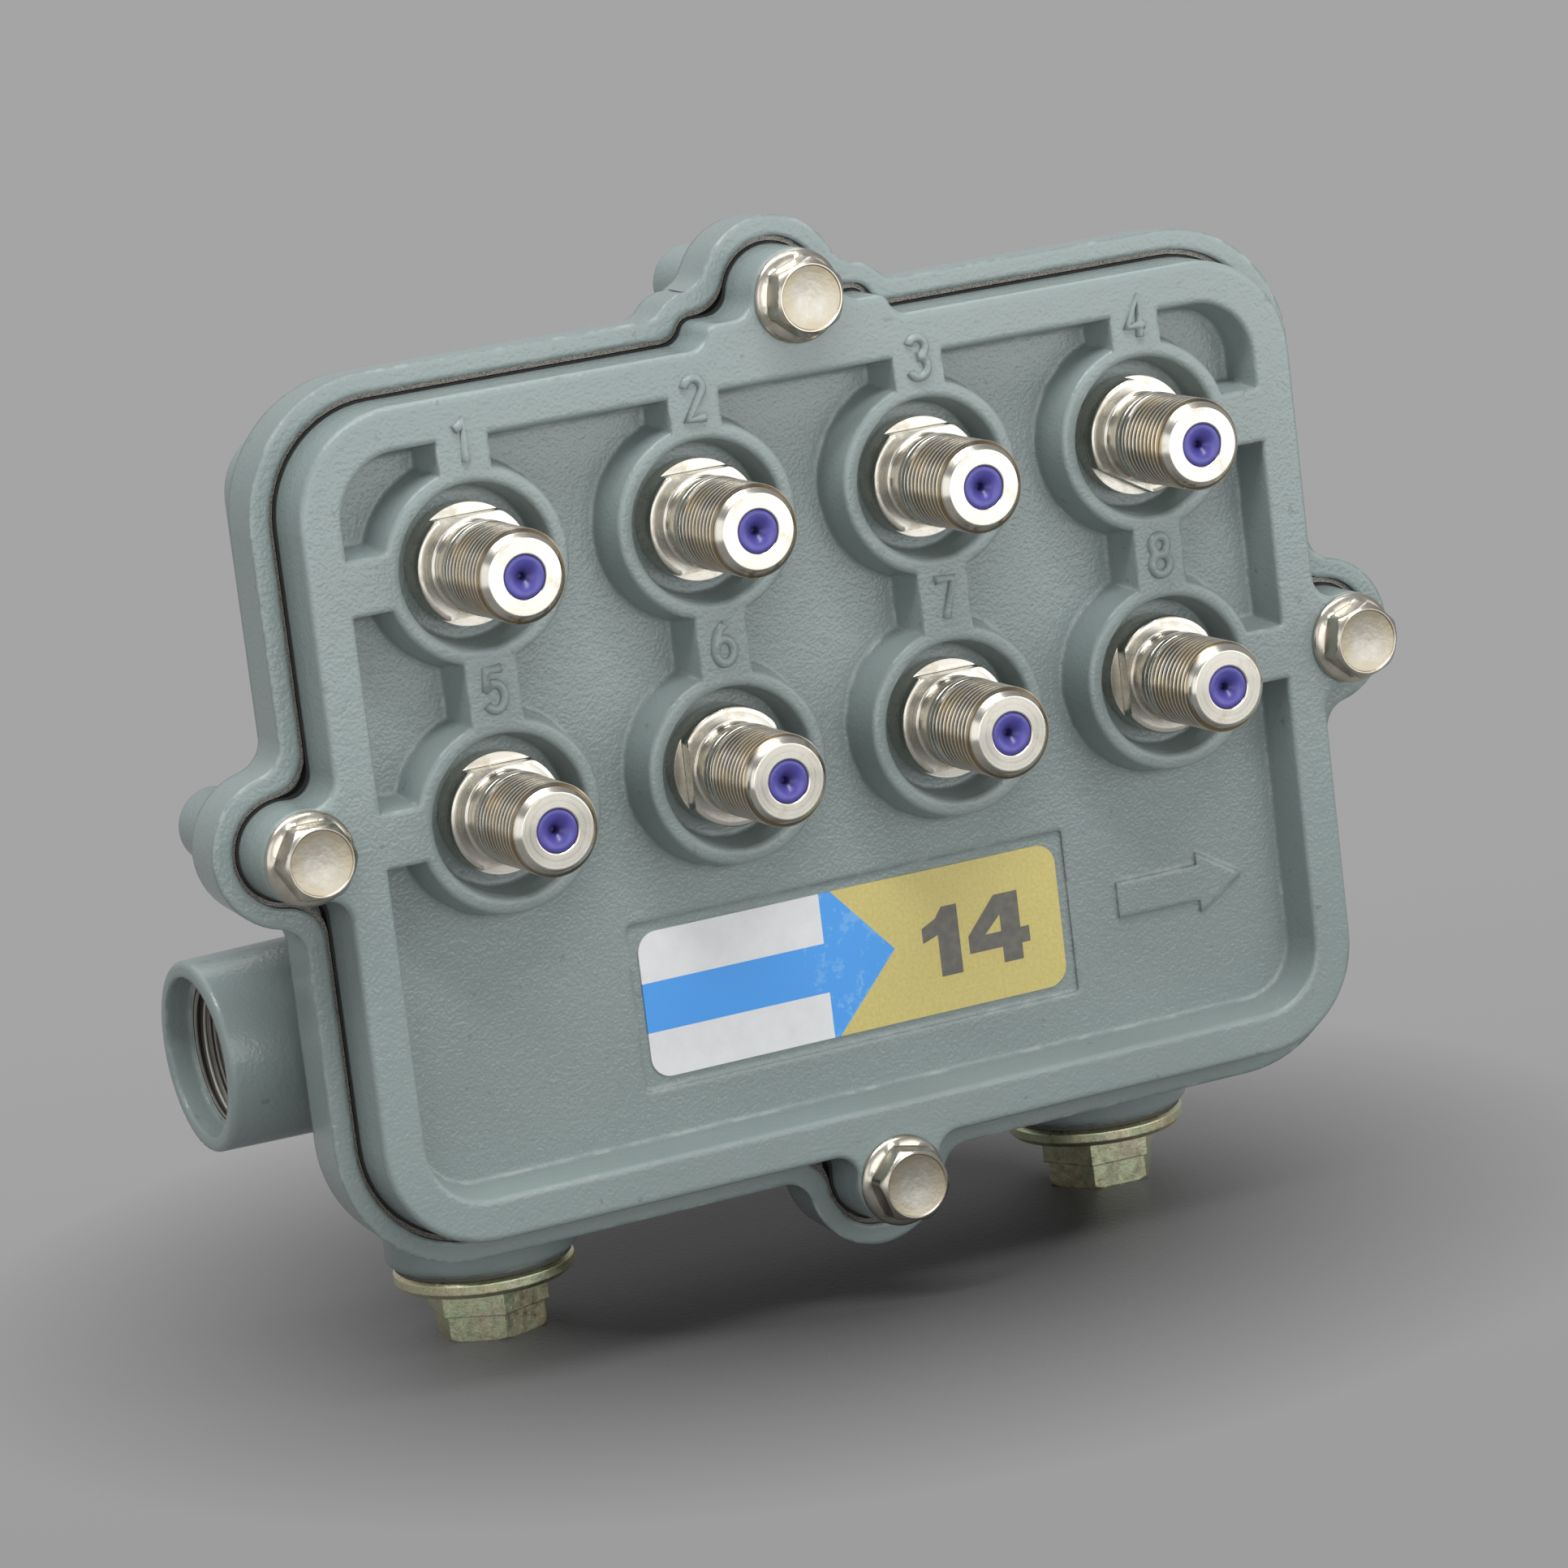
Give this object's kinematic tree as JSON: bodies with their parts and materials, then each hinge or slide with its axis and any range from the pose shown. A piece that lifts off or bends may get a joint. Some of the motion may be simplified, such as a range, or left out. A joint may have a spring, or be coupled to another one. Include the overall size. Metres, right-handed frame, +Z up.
{
  "type": "cable tv tap",
  "caption": "Outdoor cable TV tap: a cast housing with a bolted cover that carries threaded F ports, side and bottom entry ports, and a strand clamp at the back.",
  "frame": {"origin": "on the axis of the support strand, midway along the clamp's groove at the back", "axes": "+X along the strand, to the right seen from the front; -Y out of the front cover; +Z up"},
  "size_m": [0.1356, 0.0728, 0.1133],
  "materials": {
    "painted_casting": "satin grey paint with a fine orange peel, worn bright on edges",
    "bare_casting": "die cast, dull",
    "label_print": "smooth printed film with fields of white, blue and gold",
    "wire_mesh": "knitted wire",
    "black_rubber": "matt",
    "nickel": "nickel plated, turned",
    "violet_plastic": "smooth",
    "bronze": "plain",
    "ferrite": "dull grey ceramic",
    "plated_steel": "zinc plated",
    "board": "green solder mask",
    "chromate": "yellow chromate with a green and gold sheen",
    "white_plastic": "moulded"
  },
  "bodies": {
    "tap": {"housing": "painted_casting", "cover": "painted_casting", "label": "label_print", "mesh_gasket": "wire_mesh", "weather_gasket": "black_rubber", "f_connector_1": "nickel", "f_insulator_1": "violet_plastic", "f_contact_1": "bronze", "ferrite_core_1": "ferrite", "f_connector_2": "nickel", "f_insulator_2": "violet_plastic", "f_contact_2": "bronze", "ferrite_core_2": "ferrite", "f_connector_3": "nickel", "f_insulator_3": "violet_plastic", "f_contact_3": "bronze", "ferrite_core_3": "ferrite", "f_connector_4": "nickel", "f_insulator_4": "violet_plastic", "f_contact_4": "bronze", "ferrite_core_4": "ferrite", "f_connector_5": "nickel", "f_insulator_5": "violet_plastic", "f_contact_5": "bronze", "ferrite_core_5": "ferrite", "f_connector_6": "nickel", "f_insulator_6": "violet_plastic", "f_contact_6": "bronze", "ferrite_core_6": "ferrite", "f_connector_7": "nickel", "f_insulator_7": "violet_plastic", "f_contact_7": "bronze", "ferrite_core_7": "ferrite", "f_connector_8": "nickel", "f_insulator_8": "violet_plastic", "f_contact_8": "bronze", "ferrite_core_8": "ferrite", "cover_bolt_top": "plated_steel", "cover_bolt_bottom": "plated_steel", "cover_bolt_left": "plated_steel", "cover_bolt_right": "plated_steel", "circuit_board": "board", "board_screws": "plated_steel", "port_plug_left": "chromate", "port_seal_left": "black_rubber", "board_pin_left": "bronze", "seizure_block_left": "white_plastic", "seizure_terminal_left": "bronze", "seizure_screw_left": "plated_steel", "port_plug_right": "chromate", "port_seal_right": "black_rubber", "board_pin_right": "bronze", "seizure_block_right": "white_plastic", "seizure_terminal_right": "bronze", "seizure_screw_right": "plated_steel"},
    "jaw": {"clamp_jaw": "bare_casting", "clamp_washer": "plated_steel"},
    "clamp_screw": {"clamp_bolt": "plated_steel"}
  },
  "joints": [
    {"name": "jaw_slide", "type": "slide", "parent": "tap", "child": "jaw", "axis": [0, 1, 0], "range_m": [0, 0.006]},
    {"name": "bolt_turn", "type": "hinge", "parent": "jaw", "child": "clamp_screw", "pos_m": [0, 0.01, -0.0115], "axis": [0, 1, 0], "range_deg": [0, 1531]}
  ],
  "couplings": [
    {"joint": "bolt_turn", "follows": "jaw_slide", "rad_per_m": 4452.6}
  ]
}
